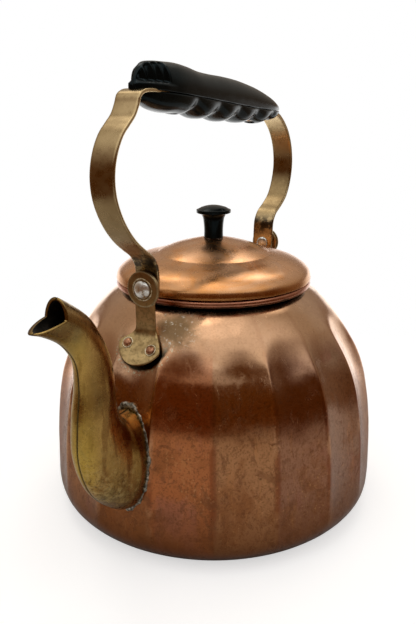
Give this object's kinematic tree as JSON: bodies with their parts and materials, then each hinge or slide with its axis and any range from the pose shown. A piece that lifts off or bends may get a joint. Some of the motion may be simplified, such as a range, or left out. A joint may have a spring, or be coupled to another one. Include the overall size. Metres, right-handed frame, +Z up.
{
  "type": "stovetop kettle",
  "caption": "Fluted copper stovetop kettle with a lift-off domed lid, a soldered brass gooseneck spout and a swinging brass bail handle with a black moulded grip.",
  "frame": {"origin": "middle of the flat base, on the surface that the kettle stands on", "axes": "+Z up, +X towards the spout, in the plane of the spout, the handle and both pivots"},
  "size_m": [0.216, 0.169, 0.219],
  "materials": {
    "copper_body": "aged satin copper, reddish brown, with a darker patina",
    "copper_lid": "polished copper, lighter and more orange than the pot",
    "copper_rivet": "copper with rubbed edges",
    "brass_spout": "aged olive gold brass, pitted low down",
    "brass_bracket": "dull yellow brass",
    "brass_strap": "brown antique brass, satin",
    "steel": "dull white metal",
    "solder": "lumpy grey solder",
    "bakelite": "black phenolic moulding, satin gloss"
  },
  "bodies": {
    "kettle": {"body_shell": "copper_body", "neck_collar": "copper_body", "spout_left_half": "brass_spout", "spout_right_half": "brass_spout", "front_bracket": "brass_bracket", "front_bracket_rivet_left": "copper_rivet", "front_bracket_rivet_right": "copper_rivet", "front_pivot_spacer": "brass_bracket", "front_pivot_disc": "brass_bracket", "front_pivot_rivet": "steel", "rear_bracket": "brass_bracket", "rear_bracket_rivet_left": "copper_rivet", "rear_bracket_rivet_right": "copper_rivet", "rear_pivot_spacer": "brass_bracket", "rear_pivot_disc": "brass_bracket", "rear_pivot_rivet": "steel"},
    "lid": {"lid_dome": "copper_lid", "lid_skirt": "copper_lid", "lid_knob": "bakelite", "knob_screw": "steel", "knob_washer": "steel"},
    "handle": {"handle_strap": "brass_strap", "grip_upper_half": "bakelite", "grip_lower_half": "bakelite", "grip_screw_front": "steel", "grip_screw_rear": "steel"}
  },
  "joints": [
    {"name": "lid_lift", "type": "slide", "parent": "kettle", "child": "lid", "axis": [0, 0, 1], "range_m": [0, 0.035]},
    {"name": "handle_swing", "type": "hinge", "parent": "kettle", "child": "handle", "pos_m": [0, 0, 0.1246], "axis": [1, 0, 0], "range_deg": [-105, 105]}
  ]
}
